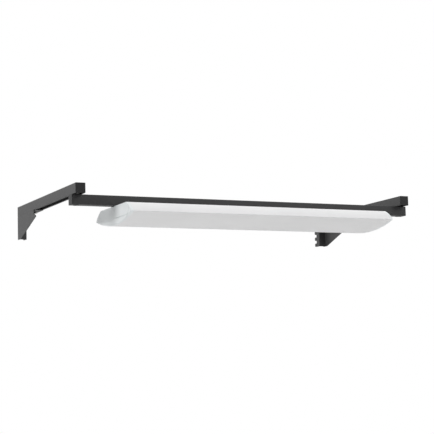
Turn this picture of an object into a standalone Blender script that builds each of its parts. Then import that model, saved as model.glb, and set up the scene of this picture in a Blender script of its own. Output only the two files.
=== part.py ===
"""Overhead bench light: two slotted cantilever arms on hook-on brackets carry a
square cross bar, and a wide wraparound LED luminaire is screwed under the bar.

Metres, +Z up.  X runs along the bar, -Y is the front, and Y = 0 is the plane of
the uprights that the brackets hook into.  The origin is midway between the two
brackets, at half the height over arms and brackets.
"""

import math

import bmesh
import bpy
from mathutils import Matrix, Vector

# ---------------------------------------------------------------- dimensions (mm)
TUBE = 35.0  # outside of arm channel and cross bar
WALL = 2.0
GAP = 0.3  # joint gap between touching pieces
SPAN_HALF = 662.0  # half of the width over both arms
HOOK_PITCH = 25.0  # slot pitch of the uprights
BRACKET_HALF = 61.0  # half height over arm and bracket
ARM_FRONT = -648.5  # front face of the arms, measured from the uprights
PLUG_HEAD = 3.0
LIP = 6.0  # width of each lip beside the slot under an arm

SHEET = 3.0  # bracket plates
SHELF_FOLD = 1.6  # fold radii at mid thickness
WEB_FOLD = 1.6
GUSSET_U = 1.5  # mid plane of the gusset, inward from the arm's outer face
HOOK_U = 28.6  # mid plane of the hook plate
WEB_Y = -21.0  # mid plane of the web
REAR = -6.5  # rear end of the arms and gussets
PLATE_LOW = -62.0  # lower edge of the hook plate
GUSSET_LOW = -62.5
GUSSET_TIP = -218.5
GUSSET_TOE = -40.0  # where the sloping edge meets the lower one
FOLD_FRONT = -198.5  # front end of the fold between gusset and shelf
SHELF_FRONT = -222.0
HOOK_REACH = 14.0

BAR_Y = -600.0  # centre of the bar and of the luminaire
ARM_TOP = BRACKET_HALF
ARM_LOW = ARM_TOP - TUBE
BAR_TOP = ARM_LOW - GAP
BAR_LOW = BAR_TOP - TUBE
BAR_LEFT, BAR_RIGHT = -661.7, 666.1  # ends of the bar's tube

LAMP_TOP = BAR_LOW - GAP
LAMP_X = 2.2  # the luminaire's middle, beside the middle between the arms
LAMP_HALF = 513.2  # half length over the end caps
CAP_DEEP = 11.0
TOP_HALF = 117.0  # half width of the flat top
RIM_HALF = 165.0  # half width at the rim
RIM_DROP = 36.3  # rim below the top
BELLY_DROP = 64.7  # lowest line below the top
SIDE_BOW = 4.0  # outward bow of the slanted sides
TRAY_T = 1.5
DIFF_T = 2.0
HINGE_Y = 163.5  # diffuser hinge line behind the luminaire's centre
HINGE_DROP = 37.9
FIX_X = 350.0  # luminaire fixing points along the bar
GLAND_X, GLAND_Y = 420.0, 75.0

MM = 0.001

# ---------------------------------------------------------------- scene set-up
for old in list(bpy.data.objects):
    bpy.data.objects.remove(old, do_unlink=True)
for old in list(bpy.data.collections):
    bpy.data.collections.remove(old)

PARTS = bpy.data.collections.new("overhead_bench_light")
CUTS = bpy.data.collections.new("cutters")
bpy.context.scene.collection.children.link(PARTS)
bpy.context.scene.collection.children.link(CUTS)


def finish(name, rgb, roughness, metallic):
    mat = bpy.data.materials.new(name)
    mat.use_nodes = True
    shader = mat.node_tree.nodes["Principled BSDF"]
    shader.inputs["Base Color"].default_value = (*rgb, 1.0)
    shader.inputs["Roughness"].default_value = roughness
    shader.inputs["Metallic"].default_value = metallic
    mat.diffuse_color = (*rgb, 1.0)
    return mat


COAT = finish("anthracite_coat", (0.055, 0.056, 0.058), 0.55, 0.0)
PLUG = finish("black_plastic", (0.03, 0.03, 0.032), 0.6, 0.0)
ZINC = finish("zinc_steel", (0.55, 0.55, 0.53), 0.35, 1.0)
WHITE = finish("white_tray", (0.82, 0.82, 0.82), 0.5, 0.0)
OPAL = finish("opal_cover", (0.86, 0.87, 0.87), 0.4, 0.0)
CAPW = finish("white_cap", (0.80, 0.81, 0.81), 0.45, 0.0)
BOARD = finish("led_board", (0.85, 0.85, 0.80), 0.5, 0.0)
DRIVER = finish("driver_case", (0.75, 0.75, 0.75), 0.5, 0.0)
GREY = finish("grey_plastic", (0.35, 0.36, 0.37), 0.5, 0.0)


# ---------------------------------------------------------------- shape helpers
def place(name, mesh, mat, at=(0, 0, 0), turn=None, home=PARTS):
    """An object with its origin at a point in mm."""
    obj = bpy.data.objects.new(name, mesh)
    home.objects.link(obj)
    matrix = Matrix.Translation(Vector(at) * MM)
    if turn is not None:
        matrix = matrix @ turn.to_4x4()
    obj.matrix_world = matrix
    if mat is not None:
        mesh.materials.append(mat)
    return obj


def as_helper(obj):
    obj.hide_render = True
    obj.display_type = "WIRE"
    return obj


def mesh_of(bm, name, smooth=False):
    bmesh.ops.recalc_face_normals(bm, faces=bm.faces)
    mesh = bpy.data.meshes.new(name)
    bm.to_mesh(mesh)
    bm.free()
    if smooth:
        mesh.shade_smooth()
        mesh.set_sharp_from_angle(angle=math.radians(35))
    return mesh


def block(name, low, high, mat, bevel=0.0, home=PARTS):
    """A box between two corners, with an optional edge round."""
    low, high = Vector(low), Vector(high)
    bm = bmesh.new()
    bmesh.ops.create_cube(bm, size=1.0)
    bmesh.ops.scale(bm, vec=(high - low) * MM, verts=bm.verts)
    obj = place(name, mesh_of(bm, name), mat, (low + high) / 2, home=home)
    if bevel:
        soften(obj, bevel)
    return obj


def soften(obj, width, segments=2, angle=40):
    mod = obj.modifiers.new("edge_round", "BEVEL")
    mod.width = width * MM
    mod.segments = segments
    mod.limit_method = "ANGLE"
    mod.angle_limit = math.radians(angle)


def rod(name, at, radius, length, mat, sides=24, axis="Z", home=PARTS):
    """A cylinder or prism centred on a point."""
    bm = bmesh.new()
    bmesh.ops.create_cone(
        bm,
        cap_ends=True,
        segments=sides,
        radius1=radius * MM,
        radius2=radius * MM,
        depth=length * MM,
    )
    turn = {
        "Z": Matrix.Identity(3),
        "Y": Matrix.Rotation(math.radians(90), 3, "X"),
        "X": Matrix.Rotation(math.radians(90), 3, "Y"),
    }[axis]
    return place(name, mesh_of(bm, name, sides > 8), mat, at, turn, home)


def turned(name, profile, at, mat, steps=24, closed=False):
    """A turned piece about Z: (radius, height) pairs in mm, from the top down its outer side."""
    mesh = bpy.data.meshes.new(name)
    points = [(r * MM, 0.0, z * MM) for r, z in profile]
    edges = [(i, i + 1) for i in range(len(points) - 1)]
    if closed:
        edges.append((len(points) - 1, 0))
    mesh.from_pydata(points, edges, [])
    obj = place(name, mesh, mat, at)
    mod = obj.modifiers.new("turn", "SCREW")
    mod.axis = "Z"
    mod.angle = 2 * math.pi
    mod.steps = mod.render_steps = steps
    mod.use_merge_vertices = True
    mod.merge_threshold = 1e-6
    mod.use_smooth_shade = False
    return obj


FACING_X = Matrix(((0, 0, 1), (1, 0, 0), (0, 1, 0)))  # outline (y, z), drawn out along X
FACING_Y = Matrix(((1, 0, 0), (0, 0, -1), (0, 1, 0)))  # outline (x, z), drawn out along Y
FACING_Z = Matrix.Identity(3)


def drawn(name, loops, length, at, facing, mat, home=PARTS):
    """A flat outline, with any inner loops as holes, drawn out to a length about a point."""
    curve = bpy.data.curves.new(name + "_outline", "CURVE")
    curve.dimensions = "2D"
    curve.fill_mode = "BOTH"
    curve.extrude = length * MM / 2
    for loop in loops:
        spline = curve.splines.new("POLY")
        spline.points.add(len(loop) - 1)
        for point, (a, b) in zip(spline.points, loop):
            point.co = (a * MM, b * MM, 0, 1)
        spline.use_cyclic_u = True
    guide = bpy.data.objects.new(name + "_outline", curve)
    home.objects.link(guide)
    bpy.context.view_layer.update()
    graph = bpy.context.evaluated_depsgraph_get()
    mesh = bpy.data.meshes.new_from_object(guide.evaluated_get(graph))
    bpy.data.objects.remove(guide, do_unlink=True)
    mesh.materials.clear()
    bm = bmesh.new()
    bm.from_mesh(mesh)
    bmesh.ops.remove_doubles(bm, verts=bm.verts, dist=1e-6)
    bmesh.ops.recalc_face_normals(bm, faces=bm.faces)
    bm.to_mesh(mesh)
    bm.free()
    mesh.name = name
    mesh.shade_smooth()
    mesh.set_sharp_from_angle(angle=math.radians(30))
    return place(name, mesh, mat, at, facing, home)


def filleted(points, radius, steps=4):
    """An open path with its corners rounded."""
    out = [Vector(points[0])]
    for before, corner, after in zip(points, points[1:], points[2:]):
        a, b, c = Vector(before), Vector(corner), Vector(after)
        d1, d2 = (a - b).normalized(), (c - b).normalized()
        half = d1.angle(d2) / 2
        reach = radius / math.tan(half)
        centre = b + (d1 + d2).normalized() * (radius / math.sin(half))
        p, q = b + d1 * reach - centre, b + d2 * reach - centre
        sweep = math.pi - 2 * half
        sign = 1 if p.x * q.y - p.y * q.x > 0 else -1
        for i in range(steps + 1):
            angle = sign * sweep * i / steps
            out.append(
                centre
                + Vector(
                    (
                        p.x * math.cos(angle) - p.y * math.sin(angle),
                        p.x * math.sin(angle) + p.y * math.cos(angle),
                    )
                )
            )
    out.append(Vector(points[-1]))
    return out


def ribbon(path, thick):
    """The outline of a strip of even thickness along a path."""
    left, right = [], []
    for i, point in enumerate(path):
        before = path[max(i - 1, 0)]
        after = path[min(i + 1, len(path) - 1)]
        d1 = (point - before).normalized() if i else (after - point).normalized()
        d2 = (after - point).normalized() if i < len(path) - 1 else d1
        along = (d1 + d2).normalized()
        normal = Vector((-along.y, along.x))
        scale = thick / 2 / max(normal.dot(Vector((-d1.y, d1.x))), 0.3)
        left.append(point + normal * scale)
        right.append(point - normal * scale)
    return [tuple(p) for p in left] + [tuple(p) for p in reversed(right)]


def round_square(side, radius, steps=3):
    half = side / 2 - radius
    loop = []
    for k, (cx, cy) in enumerate(((half, half), (-half, half), (-half, -half), (half, -half))):
        for i in range(steps + 1):
            angle = math.radians(90 * k + 90 * i / steps)
            loop.append((cx + radius * math.cos(angle), cy + radius * math.sin(angle)))
    return loop


def carve(obj, *cutters, how="DIFFERENCE"):
    for cutter in cutters:
        as_helper(cutter)
        mod = obj.modifiers.new(cutter.name, "BOOLEAN")
        mod.operation = how
        mod.object = cutter
        mod.solver = "EXACT"


def pivot(name, at):
    empty = bpy.data.objects.new(name, None)
    empty.empty_display_size = 0.05
    PARTS.objects.link(empty)
    empty.location = Vector(at) * MM
    return empty


def hold(parent, *children):
    bpy.context.view_layer.update()
    for child in children:
        keep = child.matrix_world.copy()
        child.parent = parent
        child.matrix_parent_inverse = parent.matrix_world.inverted()
        child.matrix_world = keep


# ---------------------------------------------------------------- joint frames
rail = pivot("depth_slide", (0, BAR_Y, BAR_TOP))
hinge = pivot("diffuser_hinge", (0, BAR_Y + HINGE_Y, LAMP_TOP - HINGE_DROP))


# ---------------------------------------------------------------- brackets
def hook_edge(top):
    """The hook plate's rear edge from the top down: one rounded hook at each slot."""
    points = [(0.0, top)]
    for n in range(3):
        mid = -3.5 - HOOK_PITCH * n
        points.append((0.0, mid + 6))
        for k in range(5):
            angle = math.radians(90 - 22.5 * k)
            points.append((HOOK_REACH - 5 + 5 * math.cos(angle), mid + 1 + 5 * math.sin(angle)))
        for k in range(5):
            angle = math.radians(-22.5 * k)
            points.append((HOOK_REACH - 5 + 5 * math.cos(angle), mid - 3 + 5 * math.sin(angle)))
        points += [(4.2, mid - 8), (3.2, mid - 7), (3.2, mid - 3), (0.0, mid - 3)]
    points.append((0.0, PLATE_LOW))
    return points


def folded(name, side, faces):
    """A folded plate from its mid faces, given as lists of (inward, y, z) corners."""
    bm = bmesh.new()
    shared = {}
    for points in faces:
        corners = []
        for u, y, z in points:
            key = (round(u, 4), round(y, 4), round(z, 4))
            if key not in shared:
                shared[key] = bm.verts.new((side * (SPAN_HALF - u) * MM, y * MM, z * MM))
            corners.append(shared[key])
        bm.faces.new(corners)
    obj = place(name, mesh_of(bm, name), COAT)
    plate = obj.modifiers.new("plate", "SOLIDIFY")
    plate.thickness = SHEET * MM
    plate.offset = 0.0
    plate.use_even_offset = True
    return obj


def quarter(steps=4):
    """Pairs of neighbouring angles over a quarter turn."""
    return [(math.radians(90 * k / steps), math.radians(90 * (k + 1) / steps)) for k in range(steps)]


def bracket(side):
    """Two folded plates: gusset and shelf under the arm, and web and hook plate behind them."""
    word = "left" if side < 0 else "right"
    shelf_z = ARM_LOW - GAP - SHEET / 2
    fold_z = shelf_z - SHELF_FOLD
    inner_u = HOOK_U + SHEET / 2

    slope = (GUSSET_LOW + 1.5) / (GUSSET_TOE - GUSSET_TIP)
    gusset = [
        (FOLD_FRONT, fold_z),
        (REAR, fold_z),
        (REAR, GUSSET_LOW),
        (GUSSET_TOE + 5.5, GUSSET_LOW),
        (GUSSET_TOE + 2.5, GUSSET_LOW + 0.5),
        (GUSSET_TOE, GUSSET_LOW + 1.5),
        (GUSSET_TIP + 1.5, slope * 1.5),
        (GUSSET_TIP, 1.2),
        (GUSSET_TIP + 0.6, 3.2),
        (FOLD_FRONT - 2.0, 10.5),
        (FOLD_FRONT, 12.0),
    ]
    fold_u = GUSSET_U + SHELF_FOLD
    shelf = [
        (fold_u, FOLD_FRONT),
        (fold_u, REAR),
        (inner_u, REAR),
        (inner_u, SHELF_FRONT + 5),
        (inner_u - 1.5, SHELF_FRONT + 1.5),
        (inner_u - 5, SHELF_FRONT),
        (fold_u + 4, SHELF_FRONT),
        (fold_u + 1.2, SHELF_FRONT + 1.2),
        (fold_u, SHELF_FRONT + 4),
    ]
    faces = [[(GUSSET_U, y, z) for y, z in gusset], [(u, y, shelf_z) for u, y in shelf]]
    for a, b in quarter():
        ua, ub = (GUSSET_U + SHELF_FOLD - SHELF_FOLD * math.cos(v) for v in (a, b))
        za, zb = (fold_z + SHELF_FOLD * math.sin(v) for v in (a, b))
        faces.append([(ua, FOLD_FRONT, za), (ub, FOLD_FRONT, zb), (ub, REAR, zb), (ua, REAR, za)])
    obj = folded(f"{word}_bracket", side, faces)
    for n, y in enumerate(BRACKET_BOLTS):
        carve(
            obj,
            rod(f"{word}_shelf_hole_{n}", (side * (SPAN_HALF - TUBE / 2), y, shelf_z), 4.6, 20, None, 20, home=CUTS),
        )

    top = shelf_z - SHEET / 2 - GAP
    edge_u = GUSSET_U + SHEET / 2 + GAP
    turn_u, turn_y = HOOK_U - WEB_FOLD, WEB_Y + WEB_FOLD
    web = [(edge_u, PLATE_LOW), (turn_u, PLATE_LOW), (turn_u, top), (edge_u, top)]
    hooks = [(turn_y, PLATE_LOW), (turn_y, top), *hook_edge(top)]
    faces = [[(u, WEB_Y, z) for u, z in web], [(HOOK_U, y, z) for y, z in hooks]]
    for a, b in quarter():
        ua, ub = (turn_u + WEB_FOLD * math.sin(v) for v in (a, b))
        ya, yb = (turn_y - WEB_FOLD * math.cos(v) for v in (a, b))
        faces.append([(ua, ya, PLATE_LOW), (ub, yb, PLATE_LOW), (ub, yb, top), (ua, ya, top)])
    folded(f"{word}_hook_plate", side, faces)


BRACKET_BOLTS = (-165.0, -60.0)


# ---------------------------------------------------------------- arms
def arm(side):
    name = "left" if side < 0 else "right"
    mid = side * (SPAN_HALF - TUBE / 2)
    half = TUBE / 2
    path = filleted(
        [
            (-half + LIP, -half + WALL / 2),
            (-half + WALL / 2, -half + WALL / 2),
            (-half + WALL / 2, half - WALL / 2),
            (half - WALL / 2, half - WALL / 2),
            (half - WALL / 2, -half + WALL / 2),
            (half - LIP, -half + WALL / 2),
        ],
        1.2,
    )
    rear = REAR
    front = ARM_FRONT + PLUG_HEAD + GAP
    centre_z = ARM_TOP - half
    drawn(
        name + "_arm",
        [ribbon(path, WALL)],
        rear - front,
        (mid, (front + rear) / 2, centre_z),
        FACING_Y,
        COAT,
    )
    end_plug(
        name + "_arm_plug",
        (mid, ARM_FRONT + PLUG_HEAD / 2, centre_z),
        "Y",
        1,
        BAR_Y - 12.5 - 15.0 - 3.0 - ARM_FRONT - PLUG_HEAD,
    )


def end_plug(name, at, axis, inward, depth):
    """A push-in plug: a flat head and a hollow spigot inside the tube."""
    at = Vector(at)
    along = Vector((0, 1, 0)) if axis == "Y" else Vector((1, 0, 0))
    across = Vector((1, 0, 0)) if axis == "Y" else Vector((0, 1, 0))
    up = Vector((0, 0, 1))
    face = across * TUBE / 2 + up * TUBE / 2
    head = block(name, at - face - along * PLUG_HEAD / 2, at + face + along * PLUG_HEAD / 2, PLUG)
    inner = TUBE / 2 - WALL - 0.4
    wall = inner - 1.8
    start = at + along * inward * (PLUG_HEAD / 2 - 0.8)
    stop = at + along * inward * (PLUG_HEAD / 2 + depth)
    spigot = [start - (across + up) * inner, stop + (across + up) * inner]
    hollow = [start + along * inward * 2.5 - (across + up) * wall, stop + along * inward * 2 + (across + up) * wall]
    carve(head, block(name + "_spigot", *ordered(spigot), None, home=CUTS), how="UNION")
    carve(head, block(name + "_hollow", *ordered(hollow), None, home=CUTS))
    soften(head, 0.7, 2)
    return head


def ordered(pair):
    a, b = pair
    return Vector(map(min, a, b)), Vector(map(max, a, b))


for side in (-1, 1):
    bracket(side)
    arm(side)


# ---------------------------------------------------------------- bracket bolts
def hex_bolt(name, at, head_r, head_h, shank_r, shank_l, mat, sides=6):
    """Head below the point, shank rising from it."""
    x, y, z = at
    head = rod(name, (x, y, z - head_h / 2), head_r, head_h, mat, sides)
    shank = rod(name + "_shank", (x, y, z + (shank_l - 1) / 2), shank_r, shank_l + 1, None, 16, home=CUTS)
    carve(head, shank, how="UNION")
    return head


for side, word in ((-1, "left"), (1, "right")):
    mid = side * (SPAN_HALF - TUBE / 2)
    under = ARM_LOW - GAP - SHEET - GAP
    for n, y in enumerate(BRACKET_BOLTS):
        which = "front" if n == 0 else "rear"
        hex_bolt(f"{word}_bracket_bolt_{which}", (mid, y, under), 7.4, 5.3, 4.0, 14.0, ZINC)
    low = ARM_LOW + WALL + GAP
    strip = block(f"{word}_bracket_nut_strip", (mid - 14.5, -190, low), (mid + 14.5, -35, low + 6), ZINC)
    for n, y in enumerate(BRACKET_BOLTS):
        carve(strip, rod(f"{word}_strip_hole_{n}", (mid, y, low + 3), 4.3, 20, None, 16, home=CUTS))

# ---------------------------------------------------------------- cross bar
bar = drawn(
    "cross_bar",
    [round_square(TUBE, 1.5), round_square(TUBE - 2 * WALL, 0.6)],
    BAR_RIGHT - BAR_LEFT,
    ((BAR_LEFT + BAR_RIGHT) / 2, BAR_Y, BAR_TOP - TUBE / 2),
    FACING_X,
    COAT,
)
moved = [bar]
for side, word in ((-1, "left"), (1, "right")):
    mid = side * (SPAN_HALF - TUBE / 2)
    carve(
        bar,
        rod(f"bar_bolt_hole_{word}", (mid, BAR_Y, BAR_TOP), 4.6, 14, None, 20, home=CUTS),
        rod(f"bar_access_hole_{word}", (mid, BAR_Y, BAR_LOW), 9.3, 14, None, 24, home=CUTS),
        rod(f"bar_fixing_hole_{word}", (LAMP_X + side * FIX_X, BAR_Y, BAR_LOW), 4.9, 14, None, 20, home=CUTS),
    )
    tube_end = BAR_LEFT if side < 0 else BAR_RIGHT
    moved.append(
        end_plug(
            f"{word}_bar_plug",
            (tube_end + side * (GAP + PLUG_HEAD / 2), BAR_Y, BAR_TOP - TUBE / 2),
            "X",
            -side,
            6.5,
        )
    )
    # clamp set: head and washer inside the bar, nut plate inside the arm
    under = BAR_TOP - WALL
    moved.append(
        turned(
            f"{word}_clamp_washer",
            [(8.0, -GAP), (8.0, -GAP - 1.6), (4.3, -GAP - 1.6), (4.3, -GAP)],
            (mid, BAR_Y, under),
            ZINC,
            closed=True,
        )
    )
    seat = under - 2 * GAP - 1.6
    bolt = turned(
        f"{word}_clamp_bolt",
        [(0, 19), (3.4, 19), (4.0, 18.2), (4.0, 0), (6.5, 0), (6.5, -7.4), (5.9, -8), (0, -8)],
        (mid, BAR_Y, seat),
        ZINC,
    )
    carve(bolt, rod(f"{word}_clamp_socket", (mid, BAR_Y, seat - 8), 3.6, 8, None, 6, home=CUTS))
    low = ARM_LOW + WALL + GAP
    nut = block(f"{word}_clamp_nut", (mid - 14.5, BAR_Y - 12.5, low), (mid + 14.5, BAR_Y + 12.5, low + 6), ZINC)
    carve(nut, rod(f"{word}_clamp_nut_hole", (mid, BAR_Y, low + 3), 4.3, 20, None, 20, home=CUTS))
    cap = turned(
        f"{word}_access_plug",
        [(0, 5), (7.6, 5), (8.9, 3.6), (8.9, -GAP), (11.0, -GAP), (11.0, -0.9), (9.8, -1.7), (0, -2.0)],
        (mid, BAR_Y, BAR_LOW),
        PLUG,
    )
    moved += [bolt, nut, cap]


# ---------------------------------------------------------------- luminaire
def lamp(x, y, drop):
    return (LAMP_X + x, BAR_Y + y, LAMP_TOP - drop)


def belly(y, half, top, low):
    """Depth of the curved underside at a width."""
    return low - (low - top) * (y / half) ** 2


def bowed(a, b, steps=4):
    """Points between two ends of a slanted side, bowed outward to the left of the way from a to b."""
    a, b = Vector(a), Vector(b)
    out = Vector((a.y - b.y, b.x - a.x)).normalized()
    ways = [i / steps for i in range(1, steps)]
    return [a.lerp(b, t) + out * SIDE_BOW * 4 * t * (1 - t) for t in ways]


inner_half = LAMP_HALF - CAP_DEEP - GAP
centre_line = filleted(
    [
        (-RIM_HALF + 11, -RIM_DROP + TRAY_T / 2),
        (-RIM_HALF + 1.2, -RIM_DROP + TRAY_T / 2),
        (-TOP_HALF, -TRAY_T / 2),
        (TOP_HALF, -TRAY_T / 2),
        (RIM_HALF - 1.2, -RIM_DROP + TRAY_T / 2),
        (RIM_HALF - 11, -RIM_DROP + TRAY_T / 2),
    ],
    1.2,
    3,
)
rise, top_end = 5, 13  # first point after the front side, and after the top
centre_line = (
    centre_line[:rise]
    + bowed(centre_line[rise - 1], centre_line[rise])
    + centre_line[rise:top_end]
    + bowed(centre_line[top_end - 1], centre_line[top_end])
    + centre_line[top_end:]
)
tray = drawn("luminaire_tray", [ribbon(centre_line, TRAY_T)], 2 * inner_half, lamp(0, 0, 0), FACING_X, WHITE)

arc = [
    Vector((y, -belly(y, HINGE_Y, HINGE_DROP, BELLY_DROP - DIFF_T / 2)))
    for y in (HINGE_Y * (i / 14 - 1) for i in range(29))
]
diffuser = drawn("diffuser", [ribbon(arc, DIFF_T)], 2 * inner_half, lamp(0, 0, 0), FACING_X, OPAL)

outline = [(-TOP_HALF, 0), (TOP_HALF, 0)]
outline += [tuple(p) for p in bowed((TOP_HALF, 0), (RIM_HALF, -RIM_DROP))]
outline += [
    (y, -belly(y, RIM_HALF, RIM_DROP, BELLY_DROP)) for y in (RIM_HALF * (1 - i / 12) for i in range(25))
]
outline += [tuple(p) for p in bowed((-RIM_HALF, -RIM_DROP), (-TOP_HALF, 0))]
pocket = [(-TOP_HALF + 2, -2.6), (TOP_HALF - 2, -2.6)]
pocket += [
    (y, -belly(y, RIM_HALF - 5, RIM_DROP, BELLY_DROP - 2.6))
    for y in ((RIM_HALF - 5) * (1 - i / 12) for i in range(25))
]
caps = []
for side, word in ((-1, "left"), (1, "right")):
    cap = drawn(
        f"{word}_end_cap",
        [outline],
        CAP_DEEP,
        lamp(side * (LAMP_HALF - CAP_DEEP / 2), 0, 0),
        FACING_X,
        CAPW,
    )
    hollow = drawn(
        f"{word}_cap_hollow",
        [pocket],
        CAP_DEEP,
        lamp(side * (LAMP_HALF - CAP_DEEP / 2 - 3.0), 0, 0),
        FACING_X,
        None,
        home=CUTS,
    )
    carve(cap, hollow)
    for n, y in enumerate((-70, 70)):
        tongue = block(
            f"{word}_cap_tongue_{n}",
            ordered([Vector(lamp(side * (inner_half - 14), y - 12, 5.0)), Vector(lamp(side * (LAMP_HALF - 1.5), y + 12, 2.0))])[0],
            ordered([Vector(lamp(side * (inner_half - 14), y - 12, 5.0)), Vector(lamp(side * (LAMP_HALF - 1.5), y + 12, 2.0))])[1],
            None,
            home=CUTS,
        )
        carve(cap, tongue, how="UNION")
    caps.append(cap)

gear_line = filleted(
    [(-110, -2.7), (-96, -2.7), (-96, -24), (96, -24), (96, -2.7), (110, -2.7)], 1.2, 3
)
gear = drawn("gear_tray", [ribbon(gear_line, 1.0)], 2 * (inner_half - 22), lamp(0, 0, 0), FACING_X, WHITE)

inside = [tray, gear, *caps]
number = 0
for row in (-48, 48):
    for half in (-1, 1):
        number += 1
        low, high = ordered([Vector(lamp(half * 6, row - 12, 26.4)), Vector(lamp(half * 470, row + 12, 24.8))])
        inside.append(block(f"led_board_{number}", low, high, BOARD))

driver = block("led_driver", lamp(-150, -16, 22.9), lamp(130, 24, 5.5), DRIVER, 1.0)
inside.append(driver)
for n, x in enumerate((-138, 118)):
    spot = lamp(x, 4, 24.8)
    screw = hex_bolt(f"driver_screw_{n + 1}", spot, 3.2, 2.2, 1.5, 8.0, ZINC, 16)
    carve(gear, rod(f"driver_hole_gear_{n}", lamp(x, 4, 24), 1.9, 6, None, 12, home=CUTS))
    carve(driver, rod(f"driver_hole_case_{n}", lamp(x, 4, 19.5), 1.9, 12, None, 12, home=CUTS))
    inside.append(screw)

number = 0
for x in (-440, 440):
    for y in (-103.5, 103.5):
        number += 1
        spot = lamp(x, y, 3.5)
        inside.append(hex_bolt(f"gear_screw_{number}", spot, 3.8, 2.6, 2.0, 3.2, ZINC, 16))
        carve(gear, rod(f"gear_hole_{number}", lamp(x, y, 2.7), 2.35, 5, None, 12, home=CUTS))
        carve(tray, rod(f"tray_gear_hole_{number}", lamp(x, y, 1), 2.35, 6, None, 12, home=CUTS))

terminal = block("terminal_block", lamp(372, 20, 23.1), lamp(412, 42, 9.0), GREY, 0.6)
inside.append(terminal)

carve(tray, rod("tray_gland_hole", lamp(GLAND_X, GLAND_Y, 1), 8.4, 10, None, 24, home=CUTS))
gland = turned(
    "cable_gland",
    [
        (5.6, 18), (8.6, 15.5), (8.6, 8), (10.5, 7.5), (10.5, GAP),
        (8.0, GAP), (8.0, -9), (4.2, -9), (4.2, 18),
    ],
    lamp(GLAND_X, GLAND_Y, 0),
    GREY,
    closed=True,
)
lock = rod("gland_nut", lamp(GLAND_X, GLAND_Y, TRAY_T + GAP + 2), 12.2, 4, GREY, 6)
carve(lock, rod("gland_nut_hole", lamp(GLAND_X, GLAND_Y, 4), 8.35, 20, None, 24, home=CUTS))
inside += [gland, lock]

for side, word in ((-1, "left"), (1, "right")):
    x = side * FIX_X
    carve(tray, rod(f"tray_fixing_hole_{word}", lamp(x, 0, 1), 3.5, 8, None, 20, home=CUTS))
    washer = turned(
        f"{word}_fixing_washer",
        [(9.0, 0), (9.0, -1.6), (3.4, -1.6), (3.4, 0)],
        lamp(x, 0, TRAY_T + GAP),
        ZINC,
        closed=True,
    )
    screw = turned(
        f"{word}_fixing_screw",
        [(0, 16), (2.5, 16), (3.0, 15.4), (3.0, 0), (6.0, 0), (6.0, -2.4), (4.6, -4.2), (0, -4.6)],
        lamp(x, 0, TRAY_T + 2 * GAP + 1.6),
        ZINC,
    )
    base = BAR_LOW
    insert = turned(
        f"{word}_rivet_nut",
        [(4.4, 12.5), (4.4, 6.0), (6.2, 4.6), (6.2, WALL + GAP), (4.5, WALL + GAP), (4.5, 0.1), (3.3, 0.1), (3.3, 12.5)],
        (LAMP_X + x, BAR_Y, base),
        ZINC,
        closed=True,
    )
    inside += [washer, screw, insert]

hold(rail, *moved, *inside, hinge)
hold(hinge, diffuser)
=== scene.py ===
"""Looks of the overhead arm light: fine pieces, finishes, stage, lights and camera."""

import math

import bmesh
import bpy
from mathutils import Matrix, Vector


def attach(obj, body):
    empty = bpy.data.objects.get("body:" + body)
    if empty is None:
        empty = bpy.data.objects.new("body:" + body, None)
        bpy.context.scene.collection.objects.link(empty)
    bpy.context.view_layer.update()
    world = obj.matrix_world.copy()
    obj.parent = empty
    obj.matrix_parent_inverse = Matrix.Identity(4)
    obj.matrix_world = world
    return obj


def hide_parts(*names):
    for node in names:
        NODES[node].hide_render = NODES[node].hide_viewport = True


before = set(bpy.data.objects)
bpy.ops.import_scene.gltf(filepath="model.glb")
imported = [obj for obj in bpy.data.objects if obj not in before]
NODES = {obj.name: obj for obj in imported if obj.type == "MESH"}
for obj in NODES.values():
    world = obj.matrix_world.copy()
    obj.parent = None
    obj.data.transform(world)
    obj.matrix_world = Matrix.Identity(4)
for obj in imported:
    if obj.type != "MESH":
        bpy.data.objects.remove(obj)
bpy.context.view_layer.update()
MM = 0.001

# ------------------------------------------------------------------ dimensions (mm), as in the solids
TUBE, WALL, GAP, LIP = 35.0, 2.0, 0.3, 6.0
SPAN_HALF = 662.0
HOOK_PITCH = 25.0
BRACKET_HALF = 61.0
ARM_FRONT = -648.5
PLUG_HEAD = 3.0
SHEET, SHELF_FOLD, WEB_FOLD = 3.0, 1.6, 1.6
GUSSET_U, HOOK_U = 1.5, 28.6
WEB_Y, REAR, PLATE_LOW, GUSSET_LOW = -21.0, -6.5, -62.0, -62.5
GUSSET_TIP, GUSSET_TOE, FOLD_FRONT, SHELF_FRONT = -218.5, -40.0, -198.5, -222.0
HOOK_REACH = 14.0
BRACKET_BOLTS = (-165.0, -60.0)
BAR_Y = -600.0
ARM_TOP = BRACKET_HALF
ARM_LOW = ARM_TOP - TUBE
BAR_TOP = ARM_LOW - GAP
BAR_LOW = BAR_TOP - TUBE
BAR_LEFT, BAR_RIGHT = -661.7, 666.1
LAMP_TOP = BAR_LOW - GAP
LAMP_X, LAMP_HALF, CAP_DEEP = 2.2, 513.2, 11.0
INNER_HALF = LAMP_HALF - CAP_DEEP - GAP
SHELL_HALF = LAMP_HALF - CAP_DEEP - 0.06
TOP_HALF, RIM_HALF, RIM_DROP, BELLY_DROP = 117.0, 165.0, 36.3, 64.7
SIDE_BOW = 4.0
TRAY_T, DIFF_T = 1.5, 2.0
HINGE_Y, HINGE_DROP = 163.5, 37.9
FIX_X = 350.0
GLAND_X, GLAND_Y = 420.0, 75.0


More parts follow.
